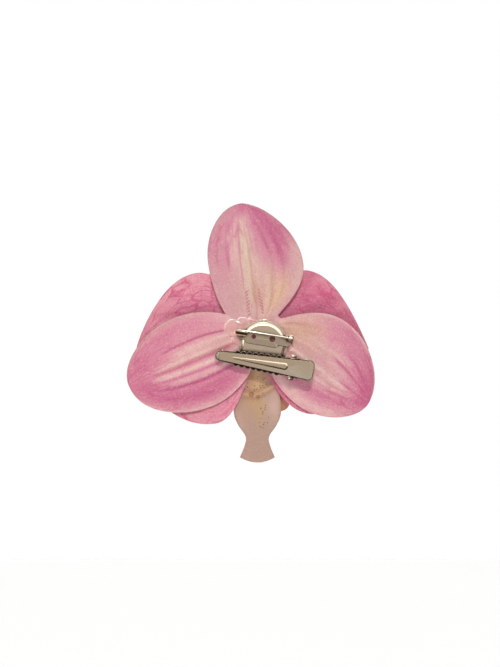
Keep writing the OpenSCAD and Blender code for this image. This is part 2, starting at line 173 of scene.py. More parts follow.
ROSE = (212, 148, 160)
PINK = (211, 132, 153)
DUSTY = (208, 156, 156)
BLUSH = (224, 173, 174)
CREAM = (221, 187, 172)
PEACH = (224, 177, 146)
TAN_AND_SHADE = (198, 146, 130)
MAGENTA = (197, 89, 132)
DEEP = (180, 70, 118)
PALE_RIM = (236, 194, 194)
PETAL_VEIN = (184, 58, 108)
RECESS_SHADE = (34, 22, 18)
RUBBED = (236, 230, 220)

# Ground colours of the lobes, in the order of each layer's lobes, and of the ridges.
LOBE_PINKS = (ROSE, PINK, (211, 129, 150))
LOBE_TONES = (0.96, 1.0, 1.0)
# The right petal's ground is deeper than the left's: painted shade, for the shadow that the upper
# sepal throws on it.
PETAL_ROSES = ((212, 108, 141), (226, 139, 161))
RIDGE_PINK = (196, 112, 128)
LIP_BEIGE = (184, 151, 138)
SIDE_LOBE_BROWN = (190, 122, 88)
PEG_BROWN = (170, 124, 86)

# Places on a lobe: across from -1 at its left edge to 1 at its right, and along from 0
# at the flower's middle to 1 at its tip. A raised rib is its place across at its base
# and at its tip, its height, half-width, start and end.
UPPER_RIBS = ((0.04, -0.02, 0.22, 0.035, 0.02, 0.85), (-0.14, -0.12, 0.3, 0.05, 0.1, 0.85),
              (0.2, 0.14, 0.3, 0.05, 0.1, 0.85), (-0.36, -0.3, 0.28, 0.06, 0.12, 0.8),
              (0.42, 0.34, 0.35, 0.06, 0.1, 0.85), (0.62, 0.54, 0.28, 0.06, 0.1, 0.8),
              (-0.58, -0.5, 0.25, 0.06, 0.15, 0.8))
RIGHT_RIBS = ((-0.12, 0.05, 0.5, 0.045, 0.1, 0.85), (-0.36, -0.2, 0.45, 0.07, 0.05, 0.7),
              (-0.62, -0.42, 0.5, 0.07, 0.03, 0.6), (0.12, 0.25, 0.3, 0.05, 0.15, 0.8),
              (-0.8, -0.62, 0.25, 0.06, 0.1, 0.6), (0.35, 0.42, 0.2, 0.07, 0.2, 0.8))
LEFT_RIBS = ((0.02, 0, 0.55, 0.05, 0.02, 0.82), (0.26, 0.2, 0.4, 0.07, 0.05, 0.8),
             (0.52, 0.46, 0.3, 0.07, 0.1, 0.7), (-0.2, -0.16, 0.45, 0.06, 0.1, 0.85),
             (-0.36, -0.3, 0.4, 0.05, 0.1, 0.85), (-0.5, -0.44, -0.4, 0.05, 0.15, 0.8))

# A stroke is its colour, strength, place across at its start and at its end, half-width,
# start and end along, and the softness of its ends.
UPPER_STROKES = (
    (DUSTY, 0.7, -0.3, -0.35, 0.55, 0, 0.45, 0.15),
    (ROSE, 0.6, -0.95, -0.95, 0.2, 0.3, 1, 0.2),
    (CREAM, 0.75, 0, -0.06, 0.28, 0.15, 0.8, 0.12),
    (CREAM, 0.95, -0.02, -0.08, 0.13, 0.25, 0.87, 0.06),
    (BLUSH, 0.95, -0.38, -0.32, 0.13, 0.55, 0.83, 0.08),
    (PINK, 0.85, 0.34, 0.24, 0.09, 0.5, 0.9, 0.1),
    (MAGENTA, 1, 0.7, 0.6, 0.3, 0.68, 1.02, 0.1),
    (MAGENTA, 0.9, 0.62, 0.6, 0.14, 0.5, 0.75, 0.1),
    (DEEP, 0.7, 0.42, 0.3, 0.05, 0.6, 0.95, 0.06),
    (DEEP, 0.6, 0.62, 0.5, 0.08, 0.62, 0.96, 0.08),
    (DEEP, 0.45, 0.8, 0.7, 0.06, 0.6, 0.85, 0.08),
    (PEACH, 0.95, 0.5, 0.55, 0.34, 0.08, 0.4, 0.12),
    (CREAM, 0.5, 0.36, 0.32, 0.1, 0.1, 0.5, 0.1),
    (TAN_AND_SHADE, 0.5, 0.48, 0.36, 0.035, 0.1, 0.5, 0.08),
    (BLUSH, 1, 0.96, 0.97, 0.16, 0.25, 0.66, 0.1),
    (MAGENTA, 0.85, -0.5, -0.5, 0.05, 0.52, 0.72, 0.06),
    (DEEP, 0.4, -0.5, -0.5, 0.03, 0.52, 0.62, 0.05),
    (MAGENTA, 0.6, -0.78, -0.74, 0.05, 0.55, 0.82, 0.08),
    (PINK, 0.6, -0.64, -0.66, 0.14, 0.45, 0.9, 0.12),
    (MAGENTA, 0.6, -0.5, -0.36, 0.07, 0.8, 0.94, 0.05),
    (MAGENTA, 0.95, 0, -0.05, 0.42, 0.93, 1.1, 0.05),
    (DEEP, 0.5, 0.02, -0.02, 0.06, 0.93, 1.1, 0.04),
    (MAGENTA, 0.55, -0.21, -0.18, 0.02, 0.36, 0.88, 0.06),
    (MAGENTA, 0.4, 0.12, 0.08, 0.02, 0.6, 0.88, 0.06),
    (TAN_AND_SHADE, 0.6, 0.045, 0.03, 0.025, 0, 0.74, 0.12),
    (TAN_AND_SHADE, 1, 0.06, 0.05, 0.075, 0, 0.38, 0.12),
)
RIGHT_STROKES = (
    (DUSTY, 0.9, -0.95, -0.9, 0.2, 0, 0.4, 0.12),
    (PEACH, 0.95, -0.5, -0.35, 0.34, 0, 0.42, 0.12),
    (BLUSH, 0.85, -0.42, -0.38, 0.14, 0.36, 0.72, 0.1),
    # The next two tan strokes, just below two ribs, are painted shadow under the ribs.
    (TAN_AND_SHADE, 1, -0.76, -0.6, 0.1, 0, 0.4, 0.08),
    (TAN_AND_SHADE, 1, -0.46, -0.32, 0.05, 0, 0.55, 0.08),
    (BLUSH, 0.95, -0.1, 0.08, 0.34, 0.25, 0.78, 0.12),
    # The next two thin pale strokes lie on the crests of two ribs: partly the sepal's own pale
    # streaks, partly painted highlight.
    (PALE_RIM, 0.9, -0.14, 0, 0.03, 0.12, 0.8, 0.1),
    (PALE_RIM, 0.6, 0.12, 0.2, 0.025, 0.2, 0.7, 0.1),
    (TAN_AND_SHADE, 0.35, 0, 0.12, 0.03, 0.15, 0.75, 0.1),
    (MAGENTA, 0.3, -0.85, -0.8, 0.2, 0.55, 0.9, 0.12),
    (MAGENTA, 0.5, -0.45, -0.3, 0.14, 0.8, 1, 0.1),
    (MAGENTA, 0.95, -0.5, -0.4, 0.4, 0.86, 1.1, 0.07),
    (MAGENTA, 0.95, 0.1, 0.2, 0.4, 0.9, 1.1, 0.05),
    (DEEP, 0.75, -0.36, -0.25, 0.03, 0.6, 1, 0.05),
    (MAGENTA, 0.5, 0.55, 0.4, 0.1, 0.4, 0.9, 0.1),
    (DEEP, 0.55, 0.3, 0.2, 0.045, 0.66, 1, 0.06),
    (DEEP, 0.5, -0.08, -0.03, 0.04, 0.74, 1, 0.05),
    (DEEP, 0.5, -0.6, -0.45, 0.05, 0.66, 1, 0.06),
    (BLUSH, 0.9, 0.85, 0.88, 0.18, 0.15, 0.9, 0.12),
    (PALE_RIM, 0.8, -1, -1, 0.04, 0.3, 0.95, 0.1),
)
LEFT_STROKES = (
    (BLUSH, 0.9, 0.85, 0.9, 0.3, 0, 0.25, 0.12),
    (DUSTY, 0.85, 1, 0.98, 0.1, 0.3, 1, 0.1),
    (BLUSH, 1, 0.26, 0.2, 0.13, 0.05, 0.64, 0.1),
    (MAGENTA, 0.3, 0.74, 0.7, 0.14, 0.4, 0.9, 0.1),
    (TAN_AND_SHADE, 0.8, 0.02, 0, 0.045, 0, 0.78, 0.06),
    (BLUSH, 0.9, 0.1, 0.08, 0.06, 0.1, 0.85, 0.1),
    (PALE_RIM, 0.6, 0.05, 0.03, 0.025, 0.35, 0.8, 0.1),
    (BLUSH, 1, -0.2, -0.17, 0.08, 0.1, 0.84, 0.08),
    (PALE_RIM, 0.5, -0.19, -0.16, 0.03, 0.2, 0.75, 0.08),
    (BLUSH, 0.9, -0.39, -0.34, 0.07, 0.1, 0.72, 0.08),
    (DEEP, 0.85, 0.44, 0.38, 0.025, 0.2, 0.7, 0.05),
    (MAGENTA, 0.75, -0.28, -0.24, 0.03, 0.2, 0.9, 0.06),
    (MAGENTA, 0.6, -0.06, -0.05, 0.03, 0.25, 0.8, 0.08),
    (MAGENTA, 0.8, -0.68, -0.62, 0.2, 0.26, 0.86, 0.1),
    (DEEP, 0.95, -0.47, -0.43, 0.035, 0.25, 0.84, 0.05),
    (DEEP, 0.4, -0.75, -0.66, 0.05, 0.4, 0.85, 0.08),
    (MAGENTA, 0.8, -0.3, -0.3, 0.3, 0.82, 0.98, 0.06),
    (MAGENTA, 0.45, 0.4, 0.4, 0.3, 0.75, 1, 0.1),
    (BLUSH, 0.8, -1, -1, 0.09, 0.1, 0.95, 0.1),
)
PETAL_STROKES = (
    (MAGENTA, 0.35, 0, 0, 0.7, 0, 0.5, 0.2),
    (ROSE, 0.5, 1, 1, 0.12, 0.4, 1.1, 0.2),
    (ROSE, 0.5, -1, -1, 0.12, 0.4, 1.1, 0.2),
    (MAGENTA, 0.4, -0.62, -0.5, 0.1, 0.25, 0.8, 0.1),
    (MAGENTA, 0.4, 0.45, 0.6, 0.1, 0.25, 0.8, 0.1),
)
SIDE_LOBE_STROKES = (
    ((166, 88, 60), 0.8, 0, 0, 0.3, 0, 0.5, 0.1),
    ((214, 150, 128), 0.8, 0, 0, 1, 0.75, 1.1, 0.1),
)


# ---------------- small formulas
def smooth(low, high, x):
    """0 below low, 1 above high and a smooth step between."""
    share = np.clip((x - low) / (high - low), 0, 1)
    return share * share * (3 - 2 * share)


def bell(x, middle, width):
    return np.exp(-(((x - middle) / width) ** 2))


def linear(colour):
    """Linear light of screen colours from 0 to 255."""
    share = np.clip(np.asarray(colour, float) / 255, 0, 1)
    return np.where(share <= 0.04045, share / 12.92, ((share + 0.055) / 1.055) ** 2.4)


# ---------------- lobes and sheets
def half_width(side, t):
    peak, widest, base_power, tip_power = side
    rise = np.sin(np.pi / 2 * np.clip(t / widest, 0, 1)) ** base_power
    fall = np.cos(np.pi / 2 * np.clip((t - widest) / (1 - widest), 0, 1)) ** tip_power
    return peak * np.where(t < widest, rise, fall)


def lobe_width(lobe, off, t):
    return np.where(off < 0, half_width(lobe[2], t), half_width(lobe[3], t))


def off_midrib(lobe, bearing):
    return (bearing - lobe[1] + 180) % 360 - 180


def lobe_radius(lobe, bearing):
    """Distance from the base to a lobe's edge on each bearing, by bisection."""
    off = off_midrib(lobe, bearing)
    low, high = np.zeros_like(off), np.ones_like(off)
    for _ in range(24):
        t = (low + high) / 2
        inside = np.degrees(np.arctan2(lobe_width(lobe, off, t), lobe[0] * t)) > np.abs(off)
        low, high = np.where(inside, t, low), np.where(inside, high, t)
    return np.where(np.abs(off) < 90, np.hypot(lobe[0] * t, lobe_width(lobe, off, t)), 0)


class Sheet:
    """Places on a thin sheet of lobes: every spoke and ring of it, as flat arrays."""

    def __init__(self, lobes, hub_r, bore, spokes, rings):
        self.lobes, self.spokes, self.rings = lobes, spokes, rings
        bearing = np.arange(spokes) * 360 / spokes
        radii = np.array([lobe_radius(lobe, bearing) for lobe in lobes])
        edge = (radii.max(axis=0) ** NOTCH_POWER + hub_r**NOTCH_POWER) ** (1 / NOTCH_POWER)
        share = np.linspace(0, 1, rings + 1) ** 0.9
        self.s, self.bearing = [a.ravel() for a in np.meshgrid(share, bearing, indexing="ij")]
        self.edge = np.tile(edge, rings + 1)
        self.lobe = np.tile(radii.argmax(axis=0), rings + 1)
        self.r = bore + (self.edge - bore) * self.s
        self.x = self.r * np.sin(np.radians(self.bearing))
        self.z = self.r * np.cos(np.radians(self.bearing))
        self.t, self.q = np.zeros_like(self.r), np.zeros_like(self.r)
        for index, lobe in enumerate(lobes):
            off = off_midrib(lobe, self.bearing)
            t = self.r * np.cos(np.radians(off)) / lobe[0]
            wide = np.maximum(lobe_width(lobe, off, np.clip(t, 0.02, 0.995)), 0.5)
            q = self.r * np.sin(np.radians(off)) / wide
            mine = self.lobe == index
            self.t = np.where(mine, np.clip(t, 0, 1), self.t)
            self.q = np.where(mine, np.clip(q, -1, 1), self.q)

    def along(self):
        """How far each place is along the lobe that reaches it furthest."""
        shares = [self.r * np.maximum(0, np.cos(np.radians(self.bearing - lobe[1]))) / lobe[0]
                  for lobe in self.lobes]
        return np.max(shares, axis=0)

    def flat_size(self):
        """Width, length and area in metres of the outline laid flat."""
        outline = slice(self.rings * self.spokes, None)
        x, z = self.x[outline] * MM, self.z[outline] * MM
        area = abs(np.sum(x * np.roll(z, -1) - z * np.roll(x, -1))) / 2
        return (np.ptp(x), np.ptp(z)), area


def grid_faces(rows, columns, closed):
    """Quads between the rows of a grid."""
    row, column = np.meshgrid(np.arange(rows - 1), np.arange(columns - (not closed)), indexing="ij")
    near = row * columns + column
    beside = row * columns + (column + 1) % columns
    return np.stack([near, near + columns, beside + columns, beside], axis=-1).reshape(-1, 4)


def grid_rim(rows, columns):
    """The places round the edge of an open grid, in order."""
    return np.concatenate([np.arange(columns), np.arange(1, rows) * columns + columns - 1,
                           (rows - 1) * columns + np.arange(columns - 2, -1, -1),
                           np.arange(rows - 2, 0, -1) * columns])


def thin_solid(rows, columns, closed, back, front, rims):
    """Points and quads of a closed sheet with a soft edge on each rim in rims.

    A rim is its places in the grid, in order, and the way out of the sheet there.
    """
    count = rows * columns
    face = grid_faces(rows, columns, closed)
    points = [back, front]
    quads = [face, face[:, ::-1] + count]
    first = 2 * count
    for rim, outward in rims:
        points.append((back[rim] + front[rim]) / 2 + outward)
        ring = first + np.arange(len(rim))
        after, ring_after = np.roll(rim, -1), np.roll(ring, -1)
        quads.append(np.stack([after, rim, ring, ring_after], axis=-1))
        quads.append(np.stack([ring_after, ring, rim + count, after + count], axis=-1))
        first += len(rim)
    return np.concatenate(points), np.concatenate(quads)


def add_capped_rings(points, faces, back_tip, rings, front_tip):
    """Adds a closed solid of rings, anticlockwise from the back, between two tips."""
    first, turns = len(points), len(rings[0])
    points += [back_tip, *(point for ring in rings for point in ring), front_tip]
    last = len(points) - 1
    for k in range(turns):
        after = (k + 1) % turns
        faces.append((first, first + 1 + k, first + 1 + after))
        for row in range(len(rings) - 1):
            near = first + 1 + row * turns
            far = near + turns
            faces.append((near + k, far + k, far + after, near + after))
        faces.append((last, last - turns + after, last - turns + k))


def add_object(name, data):
    obj = bpy.data.objects.new(name, data)
    bpy.context.scene.collection.objects.link(obj)
    return obj


def mesh_piece(name, points_mm, faces, material, smooth_angle=60):
    mesh = bpy.data.meshes.new(name)
    faces = faces if isinstance(faces, list) else faces.tolist()
    mesh.from_pydata((np.asarray(points_mm) * MM).tolist(), [], faces)
    mesh.validate()
    mesh.update()
    mesh.shade_smooth()
    mesh.set_sharp_from_angle(angle=math.radians(smooth_angle))
    mesh.materials.append(material)
    return add_object(name, mesh)


def even_paint(colour, points):
    return np.tile(np.array(colour, float), (len(points), 1))


def add_colour(piece, name, screen_colours, share):
    layer = piece.data.color_attributes.new(name, "FLOAT_COLOR", "POINT")
    rgba = np.ones((len(piece.data.vertices), 4))
    rgba[:, :3] = linear(screen_colours) * share
    layer.data.foreach_set("color", rgba.ravel())


def add_vector(piece, name, vectors):
    layer = piece.data.attributes.new(name, "FLOAT_VECTOR", "POINT")
    layer.data.foreach_set("vector", np.asarray(vectors, float).ravel())


def sheet_piece(name, sheet, depth, thickness, material, paint, centre, share=LATEX_SHARE):
    """A closed mesh of a lobed sheet, with its paint and its own directions on it."""
    back = np.stack([sheet.x + centre[0], depth, sheet.z + centre[1]], axis=-1)
    front = back + np.stack([0 * depth, thickness + 0 * depth, 0 * depth], axis=-1)
    spoke = np.arange(sheet.spokes)
    outer, inner = sheet.rings * sheet.spokes + spoke, spoke
    out = np.stack([np.sin(np.radians(sheet.bearing[outer])), 0 * spoke,
                    np.cos(np.radians(sheet.bearing[outer]))], axis=-1)
    rims = [(outer, out * 0.12), (inner[::-1], np.zeros((len(inner), 3)))]
    points, faces = thin_solid(sheet.rings + 1, sheet.spokes, True, back, front, rims)
    # The spokes run clockwise from the back, so the faces are turned to face outwards.
    piece = mesh_piece(name, points, faces[:, (0, 3, 2, 1)], material)
    ends = np.concatenate([outer, inner[::-1]])
    add_colour(piece, "paint", np.concatenate([paint, paint, paint[ends]]), share)
    own = np.stack([sheet.q, sheet.t, sheet.lobe], axis=-1)
    add_vector(piece, "lobe", np.concatenate([own, own, own[ends]]))
    return piece


# ---------------- ribs and paint
def rib_heights(t, q, ribs):
    """Height of raised ribs at the places t along and q across a lobe."""
    height = np.zeros_like(t)
    for base_q, tip_q, peak, width, start, end in ribs:
        middle = base_q + (tip_q - base_q) * t
        fade = smooth(start - 0.05, start + 0.1, t) * (1 - smooth(end - 0.15, end + 0.05, t))
        height += peak * fade * bell(q, middle, width)
    return height


def brush(colour, t, q, strokes):
    """Lays soft strokes over a colour at the places t along and q across a lobe."""
    for paint, strength, q_start, q_end, width, start, end, soft in strokes:
        share = np.clip((t - start) / max(end - start, 0.01), 0, 1)
        middle = q_start + (q_end - q_start) * share
        ends = smooth(start - soft, start + soft, t)
        mask = bell(q, middle, width) * ends * (1 - smooth(end - soft, end + soft, t))
        colour = colour + (np.array(paint, float) - colour) * (strength * mask)[:, None]
    return colour


def sepal_paint(sheet):
    colour = np.array(LOBE_PINKS, float)[sheet.lobe]
    for index, strokes in enumerate((UPPER_STROKES, RIGHT_STROKES, LEFT_STROKES)):
        mine = sheet.lobe == index
        colour[mine] = brush(colour[mine], sheet.t[mine], sheet.q[mine], strokes)
    hub = (1 - smooth(9, 15, sheet.r))[:, None]
    colour = colour + (np.array(BLUSH) - colour) * hub * 0.6
    return colour * np.array(LOBE_TONES)[sheet.lobe][:, None]


def sepal_depth(sheet):
    """How far forward the sepals' back lies: the part's curl, less the ribs."""
    depth = SEPAL_Y + SEPAL_CURL * (sheet.edge / SEPAL_LEN) ** 2 * sheet.s**3
    ribs = np.zeros_like(depth)
    for index, lobe_ribs in enumerate((UPPER_RIBS, RIGHT_RIBS, LEFT_RIBS)):
        mine = sheet.lobe == index
        ribs[mine] = rib_heights(sheet.t[mine], sheet.q[mine], lobe_ribs)
    from_disc = np.hypot(sheet.x + HUB[0] - DISC_RISE * math.sin(FINDING_TILT),
                         sheet.z + HUB[1] - DISC_RISE * math.cos(FINDING_TILT))
    ribs *= smooth(DISC_R - 0.4, DISC_R + 1.5, from_disc)
    rolled = SEPAL_ROLL * sheet.q**4 * smooth(0.2, 0.5, sheet.t)
    return depth - ribs + rolled


def petal_paint(sheet):
    colour = np.array(PETAL_ROSES, float)[sheet.lobe]
    return brush(colour, sheet.t, sheet.q, PETAL_STROKES)


def petal_depth(sheet):
    """How far forward the petals' back lies: the part's rise and sweep, and ripples."""
    angle = np.radians(sheet.bearing)
    ease = 1 - np.exp(-np.maximum(0, sheet.r - PETAL_RISE_FROM) / PETAL_RISE_REACH)
    depth = PETAL_Y + (PETAL_RISE + PETAL_TOP_RISE * np.cos(angle)) * ease
    depth = depth + PETAL_SWEEP * sheet.along() ** 2
    ripple = sum(height * np.sin(waves * angle + phase) for height, waves, phase in PETAL_RIPPLES)
    return depth + (ripple + RIPPLE_LIFT) * RIPPLE_SHARE * smooth(14, 45, sheet.r)


# ---------------- materials
class Nodes:
    """Short forms for the nodes of one material."""

    def __init__(self, name, **shader_values):
        self.material = bpy.data.materials.new(name)
        self.material.use_nodes = True
        self.tree = self.material.node_tree
        self.shader = self.tree.nodes["Principled BSDF"]
        for socket, value in shader_values.items():
            self.shader.inputs[socket.replace("_", " ")].default_value = value

    def add(self, kind, inputs, output=0, **settings):
        node = self.tree.nodes.new(kind)
        for name, value in settings.items():
            setattr(node, name, value)
        for key, value in inputs.items():
            if isinstance(value, bpy.types.NodeSocket):
                self.tree.links.new(value, node.inputs[key])
            else:
                node.inputs[key].default_value = value
        return node.outputs[output]

    def plug(self, socket_name, value):
        self.tree.links.new(value, self.shader.inputs[socket_name])

    def attribute(self, name, output="Color"):
        return self.add("ShaderNodeAttribute", {}, output, attribute_name=name)

    def vectors(self, operation, a, b):
        return self.add("ShaderNodeVectorMath", {0: a, 1: b}, operation=operation)

    def place(self, scale=(1, 1, 1)):
        """Object coordinates in millimetres, stretched by scale."""
        here = self.add("ShaderNodeTexCoord", {}, "Object")
        return self.vectors("MULTIPLY", here, [s / MM for s in scale])

    def part_of(self, vector, index):
        return self.add("ShaderNodeSeparateXYZ", {0: vector}, index)

    def math(self, operation, a, b):
        return self.add("ShaderNodeMath", {0: a, 1: b}, operation=operation)

    def times(self, a, b):
        return self.math("MULTIPLY", a, b)

    def noise(self, vector, scale, detail=2.0, roughness=0.5, output="Fac"):
        return self.add("ShaderNodeTexNoise", {"Vector": vector, "Scale": scale, "Detail": detail,
                                               "Roughness": roughness}, output)

    def cells(self, vector, scale, feature="F1", output="Distance"):
        return self.add("ShaderNodeTexVoronoi", {"Vector": vector, "Scale": scale,
                                                 "Randomness": 1.0}, output, feature=feature)

    def step(self, value, low, high, to_low=0.0, to_high=1.0):
        return self.add("ShaderNodeMapRange", {"Value": value, "From Min": low, "From Max": high,
                                               "To Min": to_low, "To Max": to_high},
                        interpolation_type="SMOOTHSTEP")

    def between(self, value, least, most):
        """1 from least to most, with edges a millimetre wide."""
        return self.times(self.step(value, least - 0.5, least + 0.5),
                          self.step(value, most - 0.5, most + 0.5, 1.0, 0.0))

    def lines(self, vector, scale, width, strength):
        """Lines between cells: strength in their middle, and nothing past their width."""
        return self.step(self.cells(vector, scale, "DISTANCE_TO_EDGE"), 0.0, width, strength, 0.0)

    def mix(self, share, a, b):
        node = self.tree.nodes.new("ShaderNodeMix")
        node.data_type = "RGBA"
        for key, value in (("Factor_Float", share), ("A_Color", a), ("B_Color", b)):
            socket = next(s for s in node.inputs if s.identifier == key)
            if isinstance(value, bpy.types.NodeSocket):
                self.tree.links.new(value, socket)
            else:
                socket.default_value = (*linear(value), 1)
        return next(s for s in node.outputs if s.identifier == "Result_Color")

    def bump(self, height, strength, distance_mm, normal=None):
        inputs = {"Height": height, "Strength": strength, "Distance": distance_mm * MM}
        if normal is not None:
            inputs["Normal"] = normal
        return self.add("ShaderNodeBump", inputs)


def veined_latex(name, vein_colour, vein_share, cells_across, cells_along, vein_reach):
    """Soft moulded latex: paint on the mesh, veins that follow the lobes, fine grain.

    The veins run round cells, counted across and along a lobe. vein_reach is how far
    along a lobe they set in and are full, and their strength before and after that.
    """
    n = Nodes(name, Subsurface_Weight=0.1, Subsurface_Scale=0.001, Sheen_Weight=0.12,
              Sheen_Roughness=0.4)
    here = n.place()
    lobe = n.attribute("lobe", "Vector")
    sway = n.noise(here, 0.1, 1, 0.5, "Color")
    wander = n.noise(here, 0.5, 3, 0.6, "Color")
    bent = n.vectors("MULTIPLY", sway, (0.2, 0.12, 0))
    shaken = n.vectors("MULTIPLY", wander, (0.06, 0.03, 0))
    swayed = n.vectors("ADD", n.vectors("ADD", lobe, bent), shaken)
    laid = n.vectors("MULTIPLY", swayed, (cells_across, cells_along, 7.3))
    main = n.lines(laid, 1.0, 0.13, 1.0)
    fine = n.lines(laid, 2.1, 0.14, 0.4)
    patches = n.step(n.noise(here, 0.12, 2), 0.35, 0.6, 0.3, 1.0)
    reach = n.times(patches, n.step(n.part_of(lobe, 1), *vein_reach))
    veins = n.times(n.math("MAXIMUM", main, fine), reach)
    fibre = n.noise(n.vectors("MULTIPLY", swayed, (30, 6, 5.1)), 1.0, 2, 0.6)
    crackle = n.lines(here, 1.1, 0.16, 1.0)
    grain = n.noise(here, 1.3, 4, 0.75)
    blotch = n.noise(here, 0.35, 3, 0.6)
    colour = n.mix(n.times(veins, vein_share), n.attribute("paint"), vein_colour)
    colour = n.mix(n.step(fibre, 0.52, 0.3, 0.0, 0.1), colour, vein_colour)
    colour = n.mix(n.step(fibre, 0.5, 0.75, 0.0, 0.1), colour, PALE_RIM)
    colour = n.mix(n.times(crackle, 0.18), colour, vein_colour)
    colour = n.mix(n.step(blotch, 0.45, 0.75, 0.0, 0.15), colour, vein_colour)
    colour = n.mix(n.step(grain, 0.5, 0.3, 0.0, 0.3), colour, vein_colour)
    colour = n.mix(n.step(grain, 0.5, 0.68, 0.0, 0.26), colour, PALE_RIM)
    n.plug("Base Color", colour)
    n.plug("Roughness", n.step(grain, 0.3, 0.7, 0.44, 0.6))
    raised = n.bump(n.math("ADD", veins, n.times(crackle, 0.4)), 0.35, 0.14)
    raised = n.bump(fibre, 0.2, 0.1, raised)
    n.plug("Normal", n.bump(grain, 0.3, 0.06, raised))
    return n.material


def lip_latex(name, soft_colour, grain_colour, dot_colour, dot_boxes, spacing, dot_share):
    """Latex with soft blotches and scattered dots.

    dot_boxes lists boxes of x and z in millimetres, least and most of each, where the
    dots lie, spacing is the distance between them and dot_share how many are there.
    """
    n = Nodes(name, Subsurface_Weight=0.1, Subsurface_Scale=0.001)
    here = n.place()
    soft = n.noise(here, 0.16, 3)
    grain = n.noise(here, 1.5, 4, 0.75)
    colour = n.mix(n.step(soft, 0.35, 0.7, 0.0, 0.35), n.attribute("paint"), soft_colour)
    colour = n.mix(n.step(grain, 0.45, 0.65, 0.0, 0.4), colour, grain_colour)
    flat = n.place((1, 0, 1))
    spot = n.step(n.cells(flat, 1 / spacing), 0.16, 0.3, 1.0, 0.0)
    chance = n.add("ShaderNodeSeparateColor", {0: n.cells(flat, 1 / spacing, output="Color")})
    x = n.part_of(here, 0)
    z = n.part_of(here, 2)
    inside = 0.0
    for least_x, most_x, least_z, most_z in dot_boxes:
        box = n.times(n.between(x, least_x, most_x), n.between(z, least_z, most_z))
        inside = n.math("MAXIMUM", inside, box)
    chosen = n.math("LESS_THAN", chance, dot_share)
    spot = n.times(n.times(spot, inside), chosen)
    n.plug("Base Color", n.mix(n.times(spot, 0.85), colour, dot_colour))
    n.plug("Roughness", n.step(grain, 0.3, 0.7, 0.42, 0.58))
    n.plug("Normal", n.bump(grain, 0.25, 0.08))
    return n.material


def moulded_plastic(name, colour, blotch_colour, roughness):
    """Plastic with soft blotches and a fine grain."""
    n = Nodes(name, Subsurface_Weight=0.1, Subsurface_Scale=0.001)
    here = n.place()
    blotch = n.noise(here, 0.5, 3, 0.6)
    grain = n.noise(here, 3.0, 4, 0.65)
    n.plug("Base Color", n.mix(n.step(blotch, 0.3, 0.75, 0.0, 0.8), colour, blotch_colour))
    n.plug("Roughness", n.step(grain, 0.3, 0.7, roughness - 0.06, roughness + 0.08))
    n.plug("Normal", n.bump(grain, 0.2, 0.06))
    return n.material


def worn_shaded_nickel(name, colour, tarnish, roughness, brushed=(1, 1, 1)):
    """Nickel plate: brushed grain, cloudy tarnish, rubbed edges, and painted shade that darkens its
    recesses.
    """
    n = Nodes(name, Metallic=1.0)
    here = n.place()
    along = n.place(brushed)
    cloud = n.noise(here, 0.3, 4, 0.6)
    streak = n.noise(along, 2.5, 5, 0.6)
    edges = n.add("ShaderNodeNewGeometry", {}, "Pointiness")
    open_share = n.add("ShaderNodeAmbientOcclusion", {"Distance": 3 * MM}, "AO", samples=24)
    shade = n.mix(n.step(cloud, 0.4, 0.75, 0.0, 0.35), colour, tarnish)
    shade = n.mix(n.step(streak, 0.35, 0.7, 0.0, 0.1), shade, tarnish)
    shade = n.mix(n.step(edges, 0.52, 0.62, 0.0, 0.4), shade, RUBBED)
    # Painted shade: the less open a place is, the nearer its colour goes to near-black, so recesses
    # and the gaps between parts look shadowed.
    n.plug("Base Color", n.mix(n.step(open_share, 0.46, 0.88, 0.98, 0.0), shade, RECESS_SHADE))
    smudge = n.math("ADD", n.times(streak, 0.5), n.times(cloud, 0.5))
    n.plug("Roughness", n.step(smudge, 0.3, 0.7, roughness - 0.04, roughness + 0.05))
    n.plug("Normal", n.bump(streak, 0.02, 0.015))
    return n.material


def clear_glue(name):
    """Glossy glue that lets some light through, with clouds and small bubbles in it."""
    n = Nodes(name, IOR=1.48, Transmission_Weight=0.55, Subsurface_Weight=0.15,
              Subsurface_Scale=0.001)
    here = n.place()
    cloud = n.noise(here, 0.45, 3, 0.6)
    bubbles = n.step(n.cells(here, 0.9), 0.08, 0.16, 1.0, 0.0)
    shade = n.mix(n.step(cloud, 0.3, 0.7, 0.0, 0.8), (244, 212, 208), (230, 182, 182))
    n.plug("Base Color", n.mix(n.times(bubbles, 0.5), shade, (248, 216, 208)))
    n.plug("Roughness", n.step(cloud, 0.3, 0.7, 0.08, 0.2))
    n.plug("Normal", n.bump(n.math("ADD", cloud, bubbles), 0.2, 0.2))
    return n.material


sepal_latex = veined_latex("sepal_latex", DEEP, vein_share=0.65, cells_across=6.5,
                           cells_along=4.5, vein_reach=(0.45, 0.9, 0.15, 1.0))
petal_latex = veined_latex("petal_latex", PETAL_VEIN, vein_share=0.85, cells_across=8,
                           cells_along=5.5, vein_reach=(0.1, 0.4, 0.5, 1.0))
lip_skin = lip_latex("lip_latex", soft_colour=(166, 134, 116), grain_colour=(190, 156, 140),
                     dot_colour=(96, 54, 34), spacing=1.15, dot_share=1.0,
                     dot_boxes=((-9, -4.2, -11.4, -8), (-2.8, 3.6, -13, -5),
                                (-0.6, 3.6, -31, -12)))
side_lobe_skin = lip_latex("side_lobe_latex", soft_colour=(158, 98, 68),
                           grain_colour=(184, 128, 92), dot_colour=(84, 24, 26), spacing=1.5,
                           dot_share=0.8, dot_boxes=((4, 12, -17, -6), (-12, -4, -14, -4)))
glue = clear_glue("hot_glue")
plate_nickel = worn_shaded_nickel("plate_nickel", (220, 201, 180), (186, 164, 140), 0.22)
bar_nickel = worn_shaded_nickel("bar_nickel", (204, 184, 162), (158, 136, 114), 0.2)
clip_nickel = worn_shaded_nickel("clip_nickel", (206, 185, 161), (178, 156, 132), 0.22, (0.25, 1, 1))
